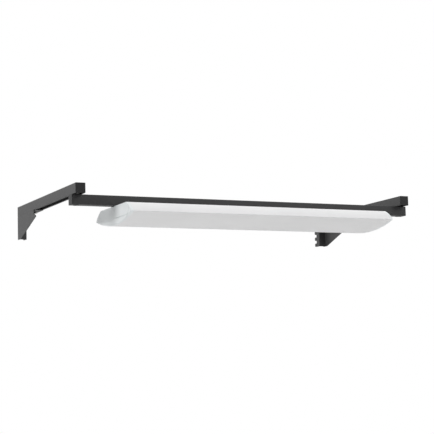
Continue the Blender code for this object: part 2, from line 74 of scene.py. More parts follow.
# ------------------------------------------------------------------ finishes
class Nodes:
    """A material's node tree, with short calls for the nodes that the finishes share."""

    def __init__(self, name):
        self.mat = bpy.data.materials.new(name)
        self.mat.use_nodes = True
        self.tree = self.mat.node_tree
        self.shader = self.tree.nodes["Principled BSDF"]
        self.where = self.tree.nodes.new("ShaderNodeTexCoord").outputs["Object"]

    def set(self, **values):
        for key, value in values.items():
            self.shader.inputs[key.replace("_", " ")].default_value = value
        return self

    def link(self, a, b):
        self.tree.links.new(a, b)

    def stretch(self, scale):
        node = self.tree.nodes.new("ShaderNodeMapping")
        node.inputs["Scale"].default_value = scale
        self.link(self.where, node.inputs["Vector"])
        return node.outputs["Vector"]

    def noise(self, scale, detail=3.0, rough=0.5, vector=None):
        node = self.tree.nodes.new("ShaderNodeTexNoise")
        node.inputs["Scale"].default_value = scale
        node.inputs["Detail"].default_value = detail
        node.inputs["Roughness"].default_value = rough
        self.link(vector or self.where, node.inputs["Vector"])
        return node.outputs["Fac"]

    def spots(self, scale, vector=None):
        node = self.tree.nodes.new("ShaderNodeTexVoronoi")
        node.inputs["Scale"].default_value = scale
        self.link(vector or self.where, node.inputs["Vector"])
        return node.outputs["Distance"]

    def span(self, value, low, high, from_low=0.3, from_high=0.7):
        node = self.tree.nodes.new("ShaderNodeMapRange")
        node.inputs["From Min"].default_value = from_low
        node.inputs["From Max"].default_value = from_high
        node.inputs["To Min"].default_value = low
        node.inputs["To Max"].default_value = high
        self.link(value, node.inputs["Value"])
        return node.outputs["Result"]

    def tint(self, value, dark, light, low=0.3, high=0.7):
        node = self.tree.nodes.new("ShaderNodeValToRGB")
        node.color_ramp.elements[0].position = low
        node.color_ramp.elements[0].color = (*dark, 1.0)
        node.color_ramp.elements[1].position = high
        node.color_ramp.elements[1].color = (*light, 1.0)
        self.link(value, node.inputs["Fac"])
        self.link(node.outputs["Color"], self.shader.inputs["Base Color"])
        return self

    def rough(self, value, low, high):
        self.link(self.span(value, low, high), self.shader.inputs["Roughness"])
        return self

    def bumps(self, *layers):
        """Layers of (height value, strength, depth in mm), the first one lowest."""
        normal = None
        for height, strength, depth in layers:
            node = self.tree.nodes.new("ShaderNodeBump")
            node.inputs["Strength"].default_value = strength
            node.inputs["Distance"].default_value = depth * MM
            self.link(height, node.inputs["Height"])
            if normal is not None:
                self.link(normal, node.inputs["Normal"])
            normal = node.outputs["Normal"]
        self.link(normal, self.shader.inputs["Normal"])
        return self


def coat(name, dark, light, rough=(0.40, 0.54)):
    """Powder coat: orange peel over a fine grain."""
    n = Nodes(name)
    peel, grain, drift = n.noise(420, 2), n.noise(2600, 2), n.noise(9, 3)
    n.tint(drift, dark, light)
    n.rough(n.noise(700, 3), *rough)
    n.bumps((peel, 0.22, 0.12), (grain, 0.18, 0.05))
    return n.mat


def plastic(name, dark, light, rough=(0.45, 0.6), grain_scale=3200, depth=0.05):
    """Moulded plastic with a spark-eroded grain and slow drift in tone."""
    n = Nodes(name)
    grain, drift = n.noise(grain_scale, 3, 0.6), n.noise(14, 3)
    n.tint(drift, dark, light)
    n.rough(n.noise(900, 2), *rough)
    n.bumps((grain, 0.3, depth))
    return n.mat


def zinc(name):
    """Plated steel: cloudy passivation over faint tool marks."""
    n = Nodes(name)
    cloud = n.noise(160, 4, 0.6)
    n.tint(cloud, (0.50, 0.50, 0.47), (0.68, 0.68, 0.66))
    n.set(Metallic=1.0)
    n.rough(n.noise(520, 3), 0.26, 0.44)
    n.bumps((n.noise(1400, 2), 0.15, 0.04))
    return n.mat


def opal(name):
    """Opal cover: satin skin with faint drawing lines along its length."""
    n = Nodes(name)
    lines = n.noise(1.0, 2, 0.5, n.stretch((3, 900, 900)))
    n.tint(n.noise(5, 3), (0.775, 0.774, 0.776), (0.805, 0.804, 0.806))
    n.set(IOR=1.49, Subsurface_Weight=0.25, Subsurface_Scale=0.004, Subsurface_Radius=(1.0, 1.0, 1.0))
    n.rough(n.noise(600, 2), 0.34, 0.46)
    n.bumps((lines, 0.10, 0.03), (n.noise(2400, 2), 0.12, 0.02))
    return n.mat


def board(name):
    """White solder mask with a faint weave of the laminate below."""
    n = Nodes(name)
    weave = n.spots(1400)
    n.tint(n.noise(60, 3), (0.78, 0.78, 0.72), (0.86, 0.86, 0.80))
    n.rough(n.noise(400, 2), 0.3, 0.42)
    n.bumps((weave, 0.1, 0.02))
    return n.mat


def phosphor(name):
    n = Nodes(name)
    n.tint(n.noise(1800, 2), (0.80, 0.60, 0.16), (0.88, 0.72, 0.26))
    n.rough(n.noise(2000, 2), 0.25, 0.4)
    n.bumps((n.noise(5000, 2), 0.1, 0.02))
    return n.mat


COAT = coat("anthracite_coat", (0.0335, 0.0335, 0.034), (0.0385, 0.0385, 0.039))
BLACK = plastic("black_plastic", (0.0085, 0.0085, 0.009), (0.0115, 0.0115, 0.012), (0.55, 0.68))
DARK = plastic("dark_plastic", (0.022, 0.022, 0.023), (0.028, 0.028, 0.029), (0.5, 0.64))
ZINC = zinc("zinc_steel")
WHITE = coat("white_coat", (0.772, 0.770, 0.777), (0.812, 0.810, 0.816), (0.36, 0.48))
OPAL = opal("opal_plastic")
CAPW = plastic("white_plastic", (0.770, 0.800, 0.807), (0.804, 0.832, 0.839), (0.38, 0.5), 2600, 0.03)
BOARD = board("led_board")
PHOSPHOR = phosphor("led_phosphor")
CASE = plastic("driver_case", (0.68, 0.68, 0.68), (0.74, 0.74, 0.74))
GREY = plastic("grey_plastic", (0.30, 0.31, 0.32), (0.37, 0.38, 0.39))


# ------------------------------------------------------------------ shape helpers
def to_mesh(bm, name, flip=True):
    if flip:
        bmesh.ops.recalc_face_normals(bm, faces=bm.faces)
    mesh = bpy.data.meshes.new(name)
    bm.to_mesh(mesh)
    bm.free()
    return mesh


def show(name, mesh, mats, body, nodes=(), smooth=35):
    """A shown piece that rides on a body and stands for some nodes of the solids."""
    obj = bpy.data.objects.new(name, mesh)
    bpy.context.scene.collection.objects.link(obj)
    for mat in mats if isinstance(mats, (list, tuple)) else [mats]:
        mesh.materials.append(mat)
    mesh.shade_smooth()
    mesh.set_sharp_from_angle(angle=math.radians(smooth))
    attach(obj, body)
    if nodes:
        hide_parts(*nodes)
    return obj


def helper(name, mesh):
    obj = bpy.data.objects.new(name, mesh)
    bpy.context.scene.collection.objects.link(obj)
    return obj


def soften(obj, width, segments=3, angle=50):
    mod = obj.modifiers.new("edge_round", "BEVEL")
    mod.width = width * MM
    mod.segments = segments
    mod.limit_method = "ANGLE"
    mod.angle_limit = math.radians(angle)
    mod.harden_normals = True
    mod.use_clamp_overlap = True
    return mod


def settle(obj, sharp=35):
    """Bakes the modifiers into the piece's own mesh."""
    bpy.context.view_layer.update()
    graph = bpy.context.evaluated_depsgraph_get()
    mesh = bpy.data.meshes.new_from_object(obj.evaluated_get(graph))
    obj.modifiers.clear()
    obj.data = mesh
    mesh.shade_smooth()
    mesh.set_sharp_from_angle(angle=math.radians(sharp))
    return obj


def flatten(obj):
    """Lets large flat faces keep their own direction beside rounded edges."""
    mod = obj.modifiers.new("flat_faces", "WEIGHTED_NORMAL")
    mod.mode = "FACE_AREA"
    mod.weight = 60
    mod.keep_sharp = True
    return obj


def carve(obj, *cutters, how="DIFFERENCE"):
    """Cuts the piece and removes the cutters."""
    for cutter in cutters:
        mod = obj.modifiers.new(cutter.name, "BOOLEAN")
        mod.operation = how
        mod.object = cutter
        mod.solver = "EXACT"
    settle(obj)
    for cutter in cutters:
        bpy.data.objects.remove(cutter, do_unlink=True)
    return obj


def filleted(points, radius, steps=8):
    out = [Vector(points[0])]
    for before, corner, after in zip(points, points[1:], points[2:]):
        a, b, c = Vector(before), Vector(corner), Vector(after)
        d1, d2 = (a - b).normalized(), (c - b).normalized()
        half = d1.angle(d2) / 2
        reach = radius / math.tan(half)
        centre = b + (d1 + d2).normalized() * (radius / math.sin(half))
        p, q = b + d1 * reach - centre, b + d2 * reach - centre
        sweep = math.pi - 2 * half
        sign = 1 if p.x * q.y - p.y * q.x > 0 else -1
        for i in range(steps + 1):
            t = sign * sweep * i / steps
            out.append(
                centre
                + Vector((p.x * math.cos(t) - p.y * math.sin(t), p.x * math.sin(t) + p.y * math.cos(t)))
            )
    out.append(Vector(points[-1]))
    return out


def two_sides(path, thick):
    """The two edges of a strip of even thickness along a path."""
    left, right = [], []
    for i, point in enumerate(path):
        before = path[max(i - 1, 0)]
        after = path[min(i + 1, len(path) - 1)]
        d1 = (point - before).normalized() if i else (after - point).normalized()
        d2 = (after - point).normalized() if i < len(path) - 1 else d1
        along = (d1 + d2).normalized()
        normal = Vector((-along.y, along.x))
        scale = thick / 2 / max(normal.dot(Vector((-d1.y, d1.x))), 0.3)
        left.append(point + normal * scale)
        right.append(point - normal * scale)
    return left, right


def along_x(at):
    return lambda a, b, s: ((s + at[0]) * MM, (a + at[1]) * MM, (b + at[2]) * MM)


def along_y(at):
    return lambda a, b, s: ((a + at[0]) * MM, (s + at[1]) * MM, (b + at[2]) * MM)


def along_z(at):
    return lambda a, b, s: ((a + at[0]) * MM, (b + at[1]) * MM, (s + at[2]) * MM)


def strip(left, right, stations, put, closed=False):
    """A drawn section between two edges: a folded sheet, or a tube where the edges close."""
    bm = bmesh.new()
    rows = []
    for s in stations:
        rows.append(
            (
                [bm.verts.new(put(p[0], p[1], s)) for p in left],
                [bm.verts.new(put(p[0], p[1], s)) for p in right],
            )
        )
    count = len(left)
    spans = range(count if closed else count - 1)
    for (l0, r0), (l1, r1) in zip(rows, rows[1:]):
        for i in spans:
            j = (i + 1) % count
            bm.faces.new((l0[i], l0[j], l1[j], l1[i]))
            bm.faces.new((r0[j], r0[i], r1[i], r1[j]))
        if not closed:
            bm.faces.new((r0[0], l0[0], l1[0], r1[0]))
            bm.faces.new((l0[-1], r0[-1], r1[-1], l1[-1]))
    for l, r in (rows[0], rows[-1]):
        for i in spans:
            j = (i + 1) % count
            bm.faces.new((l[i], r[i], r[j], l[j]))
    return bm


def prism(loop, stations, put):
    """A drawn solid section."""
    bm = bmesh.new()
    rows = [[bm.verts.new(put(a, b, s)) for a, b in loop] for s in stations]
    count = len(loop)
    for r0, r1 in zip(rows, rows[1:]):
        for i in range(count):
            j = (i + 1) % count
            bm.faces.new((r0[i], r0[j], r1[j], r1[i]))
    bm.faces.new(rows[0])
    bm.faces.new(rows[-1])
    return bm


def turned(profile, at, steps=40, axis="Z", bm=None):
    """A turned solid from (radius, height) pairs; a profile off the axis closes on itself as a ring."""
    bm = bm or bmesh.new()
    rings = []
    for r, z in profile:
        if r < 1e-6:
            rings.append([(0.0, 0.0, z)])
        else:
            rings.append(
                [
                    (r * math.cos(2 * math.pi * k / steps), r * math.sin(2 * math.pi * k / steps), z)
                    for k in range(steps)
                ]
            )
    turn = {"Z": lambda p: p, "Y": lambda p: (p[0], -p[2], p[1]), "X": lambda p: (p[2], p[1], -p[0])}[axis]
    made = [[bm.verts.new(((Vector(turn(p)) + Vector(at)) * MM)) for p in ring] for ring in rings]
    ring_like = profile[0][0] > 1e-6
    pairs = list(zip(made, made[1:])) + ([(made[-1], made[0])] if ring_like else [])
    for a, b in pairs:
        for k in range(steps):
            m = (k + 1) % steps
            if len(a) == 1 and len(b) == 1:
                continue
            if len(a) == 1:
                bm.faces.new((a[0], b[m], b[k]))
            elif len(b) == 1:
                bm.faces.new((a[k], a[m], b[0]))
            else:
                bm.faces.new((a[k], a[m], b[m], b[k]))
    return bm


def box(bm, low, high):
    low, high = Vector(low), Vector(high)
    size = high - low
    made = bmesh.ops.create_cube(bm, size=1.0)["verts"]
    bmesh.ops.scale(bm, vec=size * MM, verts=made)
    bmesh.ops.translate(bm, vec=(low + high) / 2 * MM, verts=made)
    return made


def round_square(side, radius, steps=8):
    half = side / 2 - radius
    loop = []
    for k, (cx, cy) in enumerate(((half, half), (-half, half), (-half, -half), (half, -half))):
        for i in range(steps + 1):
            t = math.radians(90 * k + 90 * i / steps)
            loop.append((cx + radius * math.cos(t), cy + radius * math.sin(t)))
    return loop


def drill(name, at, radius, length, sides=40):
    bm = bmesh.new()
    bmesh.ops.create_cone(
        bm, cap_ends=True, segments=sides, radius1=radius * MM, radius2=radius * MM, depth=length * MM
    )
    bmesh.ops.translate(bm, vec=Vector(at) * MM, verts=bm.verts)
    return helper(name, to_mesh(bm, name))


# ------------------------------------------------------------------ brackets
def hook_edge(top):
    points = [(-2.0, top), (-0.6, top - 0.6), (0.0, top - 2.0)]
    for n in range(3):
        mid = -3.5 - HOOK_PITCH * n
        points.append((0.0, mid + 6))
        for k in range(9):
            t = math.radians(90 - 11.25 * k)
            points.append((HOOK_REACH - 5 + 5 * math.cos(t), mid + 1 + 5 * math.sin(t)))
        for k in range(9):
            t = math.radians(-11.25 * k)
            points.append((HOOK_REACH - 5 + 5 * math.cos(t), mid - 3 + 5 * math.sin(t)))
        points += [
            (4.2, mid - 8), (3.5, mid - 7.7), (3.2, mid - 7), (3.2, mid - 4.0), (2.9, mid - 3.3), (2.2, mid - 3), (0.0, mid - 3),
        ]
    points.append((0.0, PLATE_LOW))
    return points


def quarter(steps=8):
    return [(math.radians(90 * k / steps), math.radians(90 * (k + 1) / steps)) for k in range(steps)]


def folded(name, side, faces, node, holes=()):
    """A folded plate from its mid faces, given as lists of (inward, y, z) corners."""
    bm = bmesh.new()
    shared = {}
    for points in faces:
        corners = []
        for u, y, z in points:
            key = (round(u, 4), round(y, 4), round(z, 4))
            if key not in shared:
                shared[key] = bm.verts.new((side * (SPAN_HALF - u) * MM, y * MM, z * MM))
            corners.append(shared[key])
        bm.faces.new(corners)
    obj = show(name, to_mesh(bm, name), COAT, "frame", [node])
    plate = obj.modifiers.new("plate", "SOLIDIFY")
    plate.thickness = SHEET * MM
    plate.offset = 0.0
    plate.use_even_offset = True
    carve(obj, *holes)
    soften(obj, 0.45, 2, 55)
    settle(obj)
    return obj


def bracket(side):
    word = "left" if side < 0 else "right"
    low = GUSSET_LOW
    shelf_z = ARM_LOW - GAP - SHEET / 2
    fold_z = shelf_z - SHELF_FOLD
    inner_u = HOOK_U + SHEET / 2
    fold_u = GUSSET_U + SHELF_FOLD
    slope = (low + 1.5) / (GUSSET_TOE - GUSSET_TIP)
    gusset = [
        (FOLD_FRONT, fold_z), (REAR, fold_z), (REAR, low + 2.0), (REAR - 0.6, low + 0.6), (REAR - 2.0, low),
        (GUSSET_TOE + 5.5, low), (GUSSET_TOE + 3.8, low + 0.15), (GUSSET_TOE + 2.0, low + 0.65), (GUSSET_TOE, low + 1.5),
        (GUSSET_TIP + 2.0, slope * 2.0), (GUSSET_TIP + 0.7, 0.2), (GUSSET_TIP, 1.2), (GUSSET_TIP + 0.6, 3.2),
        (FOLD_FRONT - 2.6, 10.3), (FOLD_FRONT - 0.9, 11.0), (FOLD_FRONT, 12.4),
    ]
    turns = [math.radians(v) for v in range(90, -1, -15)]
    shelf = [(fold_u, FOLD_FRONT), (fold_u, REAR), (inner_u, REAR)]
    shelf += [(inner_u - 5 + 5 * math.sin(t), SHELF_FRONT + 5 - 5 * math.cos(t)) for t in turns]
    shelf += [(fold_u + 4 - 4 * math.sin(t), SHELF_FRONT + 4 - 4 * math.cos(t)) for t in reversed(turns)]
    faces = [[(GUSSET_U, y, z) for y, z in gusset], [(u, y, shelf_z) for u, y in shelf]]
    for a, b in quarter():
        ua, ub = (fold_u - SHELF_FOLD * math.cos(v) for v in (a, b))
        za, zb = (fold_z + SHELF_FOLD * math.sin(v) for v in (a, b))
        faces.append([(ua, FOLD_FRONT, za), (ub, FOLD_FRONT, zb), (ub, REAR, zb), (ua, REAR, za)])
    mid = side * (SPAN_HALF - TUBE / 2)
    holes = [drill(f"{word}_hole_{n}", (mid, y, shelf_z), 4.6, 20) for n, y in enumerate(BRACKET_BOLTS)]
    plate = folded(f"{word}_bracket_plate", side, faces, f"{word}_bracket", holes)
    # the coat bridges the seam between the fold and the arm
    seam = [
        (0.22, fold_z + 0.5), (0.22, ARM_LOW + 0.8), (0.6, ARM_LOW + 0.3), (1.4, ARM_LOW - 0.03),
        (3.0, ARM_LOW - 0.03), (3.0, shelf_z), (1.0, fold_z + 0.5),
    ]
    bm = prism(seam, (FOLD_FRONT + 0.5, REAR - 0.5), lambda u, z, y: (side * (SPAN_HALF - u) * MM, y * MM, z * MM))
    bmesh.ops.recalc_face_normals(bm, faces=bm.faces)
    count = len(bm.verts)
    bm.from_mesh(plate.data)
    bm.verts.ensure_lookup_table()
    bmesh.ops.remove_doubles(bm, verts=bm.verts[count:], dist=3e-6)
    bm.to_mesh(plate.data)
    bm.free()
    plate.data.shade_smooth()
    plate.data.set_sharp_from_angle(angle=math.radians(35))
    flatten(plate)

    top = shelf_z - SHEET / 2 - GAP
    edge_u = GUSSET_U + SHEET / 2 + GAP
    turn_u, turn_y = HOOK_U - WEB_FOLD, WEB_Y + WEB_FOLD
    web = [(edge_u, PLATE_LOW), (turn_u, PLATE_LOW), (turn_u, top), (edge_u, top)]
    hooks = [(turn_y, PLATE_LOW), (turn_y, top), *hook_edge(top)]
    faces = [[(u, WEB_Y, z) for u, z in web], [(HOOK_U, y, z) for y, z in hooks]]
    for a, b in quarter():
        ua, ub = (turn_u + WEB_FOLD * math.sin(v) for v in (a, b))
        ya, yb = (turn_y - WEB_FOLD * math.cos(v) for v in (a, b))
        faces.append([(ua, ya, PLATE_LOW), (ub, yb, PLATE_LOW), (ub, yb, top), (ua, ya, top)])
    plate = folded(f"{word}_hook_plate_formed", side, faces, f"{word}_hook_plate")
    # the weld: a hollow seam with ripples, in the corner behind the web
    bm = bmesh.new()
    bm.from_mesh(plate.data)
    count = 84
    rows = []
    for k in range(count + 1):
        z = PLATE_LOW + 1.5 + (top - PLATE_LOW - 3.0) * k / count
        leg = 3.6 + 0.16 * math.cos(2 * math.pi * k / 6) - (1.4 if k in (0, count) else 0.0)
        u0, y0 = edge_u - GAP + 0.02, WEB_Y + SHEET / 2 - 0.02
        loop = [(u0, y0)]
        for i in range(7):
            t = math.radians(15 * i)
            loop.append((u0 + leg - leg * 0.86 * math.sin(t) - leg * 0.14 * i / 6, y0 + leg - leg * 0.86 * math.cos(t) - leg * 0.14 * (1 - i / 6)))
        rows.append([bm.verts.new((side * (SPAN_HALF - u) * MM, y * MM, z * MM)) for u, y in loop])
    made = []
    for r0, r1 in zip(rows, rows[1:]):
        for i in range(len(r0)):
            j = (i + 1) % len(r0)
            made.append(bm.faces.new((r0[i], r0[j], r1[j], r1[i])))
    made += [bm.faces.new(rows[0]), bm.faces.new(rows[-1])]
    bmesh.ops.recalc_face_normals(bm, faces=made)
    bm.to_mesh(plate.data)
    bm.free()
    plate.data.shade_smooth()
    plate.data.set_sharp_from_angle(angle=math.radians(35))
    flatten(plate)


# ------------------------------------------------------------------ arms and plugs
def arm(side):
    word = "left" if side < 0 else "right"
    mid = side * (SPAN_HALF - TUBE / 2)
    half = TUBE / 2
    lip, deep = half - LIP, half - WALL
    left = filleted([(-lip, -half), (-half, -half), (-half, half), (half, half), (half, -half), (lip, -half)], 1.1)
    right = filleted([(-lip, -deep), (-deep, -deep), (-deep, deep), (deep, deep), (deep, -deep), (lip, -deep)], 0.5)
    rear, front = REAR, ARM_FRONT + PLUG_HEAD + GAP
    bm = strip(left, right, (front, rear), along_y((mid, 0, ARM_TOP - half)))
    obj = show(f"{word}_arm_channel", to_mesh(bm, "arm_channel"), COAT, "frame", [f"{word}_arm"])
    soften(obj, 0.3, 2, 60)
    plug(f"{word}_arm_end", (mid, ARM_FRONT, ARM_TOP - half), "Y", 1, 15.0, "frame", f"{word}_arm_plug")


def plug(name, at, axis, inward, depth, body, node, mat=BLACK):
    """A push-in plug: a softly pillowed head and a hollow spigot with gripping fins."""
    put = {
        "Y": lambda a, b, s: ((at[0] + a) * MM, (at[1] + inward * s) * MM, (at[2] + b) * MM),
        "X": lambda a, b, s: ((at[0] + inward * s) * MM, (at[1] + a) * MM, (at[2] + b) * MM),
    }[axis]
    rings = [(10.0, 0.0), (30.0, 0.03), (33.4, 0.08), (34.2, 0.22), (34.7, 0.5), (35.0, 1.0), (35.0, 2.6), (34.7, PLUG_HEAD)]
    inner = TUBE - 2 * WALL - 0.8
    rings += [(inner - 0.6, PLUG_HEAD)]
    fin = PLUG_HEAD + 1.2
    while fin + 2.4 < PLUG_HEAD + depth:
        rings += [(inner - 0.6, fin), (inner, fin + 0.5), (inner, fin + 1.2), (inner - 0.6, fin + 1.7)]
        fin += 2.9
    rings += [(inner - 0.6, PLUG_HEAD + depth - 0.8), (inner - 1.6, PLUG_HEAD + depth)]
    rings += [(inner - 4.6, PLUG_HEAD + depth), (inner - 4.6, PLUG_HEAD - 0.4), (10.0, PLUG_HEAD - 0.4)]
    bm = bmesh.new()
    rows = []
    for side, s in rings:
        radius = min(1.5, side / 6)
        rows.append([bm.verts.new(put(a, b, s)) for a, b in round_square(side, radius, 6)])
    count = len(rows[0])
    for r0, r1 in zip(rows, rows[1:]):
        for i in range(count):
            j = (i + 1) % count
            bm.faces.new((r0[i], r0[j], r1[j], r1[i]))
    bm.faces.new(rows[0])
    bm.faces.new(rows[-1])
    return show(name, to_mesh(bm, name), mat, body, [node], smooth=28)


for side in (-1, 1):
    bracket(side)
    arm(side)

# ------------------------------------------------------------------ cross bar
bm = strip(
    round_square(TUBE, 1.2), round_square(TUBE - 2 * WALL, 0.6),
    (BAR_LEFT, BAR_RIGHT), along_x((0, BAR_Y, BAR_TOP - TUBE / 2)), closed=True,
)
bar = show("cross_bar_tube", to_mesh(bm, "cross_bar_tube"), COAT, "crossbar", ["cross_bar"])
cutters = []
for side, word in ((-1, "left"), (1, "right")):
    mid = side * (SPAN_HALF - TUBE / 2)
    cutters += [
        drill(f"bar_bolt_{word}", (mid, BAR_Y, BAR_TOP), 4.6, 14),
        drill(f"bar_access_{word}", (mid, BAR_Y, BAR_LOW), 9.3, 14),
        drill(f"bar_fixing_{word}", (LAMP_X + side * FIX_X, BAR_Y, BAR_LOW), 4.9, 14),
    ]
carve(bar, *cutters)
soften(bar, 0.3, 2, 60)
for side, word in ((-1, "left"), (1, "right")):
    face = (BAR_LEFT if side < 0 else BAR_RIGHT) + side * (GAP + PLUG_HEAD)
    plug(f"{word}_bar_end", (face, BAR_Y, BAR_TOP - TUBE / 2), "X", -side, 6.5, "crossbar", f"{word}_bar_plug", DARK)


# ------------------------------------------------------------------ fasteners
def hex_prism(bm, at, flats, low, high, chamfer=0.5):
    """A hexagon with its corners turned off at both ends."""
    radius = flats / math.sqrt(3)
    rings = [(flats / 2 * 0.97, low), (radius, low + chamfer), (radius, high - chamfer), (flats / 2 * 0.97, high)]
    rows = []
    for k, (r, z) in enumerate(rings):
        row = []
        for i in range(36):
            t = math.radians(10 * i)
            reach = min(r, flats / 2 / math.cos((t + math.pi / 6) % (math.pi / 3) - math.pi / 6))
            row.append(bm.verts.new(Vector((at[0] + reach * math.cos(t), at[1] + reach * math.sin(t), at[2] + z)) * MM))
        rows.append(row)
    for r0, r1 in zip(rows, rows[1:]):
        for i in range(36):
            j = (i + 1) % 36
            bm.faces.new((r0[i], r0[j], r1[j], r1[i]))
    bm.faces.new(rows[0])
    bm.faces.new(rows[-1])


for side, word in ((-1, "left"), (1, "right")):
    mid = side * (SPAN_HALF - TUBE / 2)
    under = ARM_LOW - GAP - SHEET - GAP
    for n, y in enumerate(BRACKET_BOLTS):
        which = "front" if n == 0 else "rear"
        bm = bmesh.new()
        hex_prism(bm, (mid, y, under), 12.8, -5.3, -0.4)
        turned([(0, 14), (3.4, 14), (4.0, 13.2), (4.0, 0), (6.0, 0), (6.0, -0.45), (0, -0.45)], (mid, y, under), 32, bm=bm)
        show(f"{word}_bracket_bolt_{which}_m8", to_mesh(bm, "bracket_bolt"), ZINC, "frame", [f"{word}_bracket_bolt_{which}"])
    bm = turned(
        [(0, 5), (7.2, 5), (8.4, 4.2), (8.9, 3.2), (8.5, 1.2), (8.5, -GAP), (11.0, -GAP), (11.0, -0.7), (10.6, -1.15), (9.6, -1.5), (6.5, -1.85), (0, -2.0)],
        (mid, BAR_Y, BAR_LOW), 48,
    )
    show(f"{word}_access_cap", to_mesh(bm, "access_cap"), BLACK, "crossbar", [f"{word}_access_plug"])

# ------------------------------------------------------------------ luminaire
def lamp(x, y, drop):
    return (LAMP_X + x, BAR_Y + y, LAMP_TOP - drop)


def belly(y, half, top, low):
    return low - (low - top) * (y / half) ** 2


def bowed(a, b, bow=SIDE_BOW, steps=14):
    """Points between two ends of a slanted side, bowed outward."""
    a, b = Vector(a), Vector(b)
    out = Vector((a.y - b.y, b.x - a.x)).normalized()
    return [a.lerp(b, i / steps) + out * bow * 4 * (i / steps) * (1 - i / steps) for i in range(1, steps)]


def tray_edge(rim, top, inner, radius):
    """One face of the tray's section, as (y, z) points: lip, bowed side, flat top, bowed side, lip."""
    lip = RIM_HALF - 11
    low, high = -RIM_DROP + inner, -inner
    path = filleted([(-lip, low), (-rim, low), (-top, high), (top, high), (rim, low), (lip, low)], radius, 6)
    return path[:8] + bowed(path[7], path[8]) + path[8:22] + bowed(path[21], path[22]) + path[22:]


bm = strip(
    tray_edge(RIM_HALF, TOP_HALF, 0.0, 0.6), tray_edge(RIM_HALF - 4.71, TOP_HALF - 0.48, TRAY_T, 0.3),
    (-SHELL_HALF, SHELL_HALF), along_x(lamp(0, 0, 0)),
)
tray = show("luminaire_tray_shell", to_mesh(bm, "tray_shell"), WHITE, "crossbar", ["luminaire_tray"])
holes = [drill("tray_gland", lamp(GLAND_X, GLAND_Y, 1), 8.4, 10)]
for side in (-1, 1):
    holes.append(drill(f"tray_fix_{side}", lamp(side * FIX_X, 0, 1), 3.5, 8))
    for y in (-103.5, 103.5):
        holes.append(drill(f"tray_gear_{side}_{y}", lamp(side * 440, y, 1), 2.35, 6))
carve(tray, *holes)
soften(tray, 0.3, 2, 60)

steps = 96
arc = [
    Vector((y, -belly(y, HINGE_Y, HINGE_DROP, BELLY_DROP - DIFF_T / 2)))
    for y in (HINGE_Y * (2 * i / steps - 1) for i in range(steps + 1))
]
upper, lower = two_sides(arc, DIFF_T)
# the front half keeps to the end caps' outline, up to the tray's rim
for i in range(steps // 2):
    y = -(RIM_HALF - 0.1) * (1 - 2 * i / steps)
    drop = belly(y, RIM_HALF, RIM_DROP + 0.6, BELLY_DROP)
    lower[i] = Vector((y, -drop))
    upper[i] = Vector((y, -max(RIM_DROP + 0.1, drop - DIFF_T)))
bm = strip(upper, lower, (-SHELL_HALF, SHELL_HALF), along_x(lamp(0, 0, 0)))
cover = show("diffuser_cover", to_mesh(bm, "diffuser_cover"), OPAL, "diffuser", ["diffuser"])
soften(cover, 0.1, 2, 80)

outline = [(-TOP_HALF, 0), (TOP_HALF, 0)]
outline += [tuple(p) for p in bowed((TOP_HALF, 0), (RIM_HALF, -RIM_DROP))]
outline += [(y, -belly(y, RIM_HALF, RIM_DROP, BELLY_DROP)) for y in (RIM_HALF * (1 - i / 40) for i in range(81))]
outline += [tuple(p) for p in bowed((-RIM_HALF, -RIM_DROP), (-TOP_HALF, 0))]
pocket = [(-TOP_HALF + 2, -2.6), (TOP_HALF - 2, -2.6)]
pocket += [
    (y, -belly(y, RIM_HALF - 5, RIM_DROP, BELLY_DROP - 2.6)) for y in ((RIM_HALF - 5) * (1 - i / 24) for i in range(49))
]
groove = filleted([(-141, -16.5), (-141, -44), (-24, -44)], 20, 12)


def inset(loop, by):
    """The loop moved inward by an even distance."""
    out = []
    for i, (a, b) in enumerate(loop):
        here, before, after = Vector((a, b)), Vector(loop[i - 1]), Vector(loop[(i + 1) % len(loop)])
        n1 = (here - before).normalized()
        n2 = (after - here).normalized()
        n1, n2 = Vector((n1.y, -n1.x)), Vector((n2.y, -n2.x))
        middle = (n1 + n2).normalized()
        out.append(tuple(here + middle * (by / max(middle.dot(n1), 0.35))))
    return out


def moulding(side, round_over):
    """The end cap's outer form, with only the edge of its face rounded over."""
    rings = [(CAP_DEEP, 0.0)]
    for k in range(7):
        t = math.radians(15 * k)
        rings.append((round_over * (1 - math.sin(t)), round_over * (1 - math.cos(t))))
    bm = bmesh.new()
    face_x = side * LAMP_HALF
    rows = [
        [bm.verts.new(Vector(lamp(face_x - side * s, y, -z)) * MM) for y, z in inset(outline, by)] for s, by in rings
    ]
    count = len(outline)
    for r0, r1 in zip(rows, rows[1:]):
        for i in range(count):
            j = (i + 1) % count
            bm.faces.new((r0[i], r0[j], r1[j], r1[i]))
    bm.faces.new(rows[0])
    bm.faces.new(rows[-1])
    # below the groove the face falls back towards the lower edge
    start = -groove[-1].y + 1.6
    for k in range(9):
        level = start + (BELLY_DROP - start) * k / 9
        bmesh.ops.bisect_plane(
            bm, geom=bm.verts[:] + bm.edges[:] + bm.faces[:], dist=1e-7,
            plane_co=Vector(lamp(0, 0, level)) * MM, plane_no=(0, 0, 1),
        )
    for v in bm.verts:
        depth = abs(v.co.x / MM - LAMP_X - face_x)
        drop = LAMP_TOP - v.co.z / MM
        if depth < CAP_DEEP / 2 and drop > start:
            v.co.x -= side * FALL * ((drop - start) / (BELLY_DROP - start)) ** 1.7 * MM
    return bm


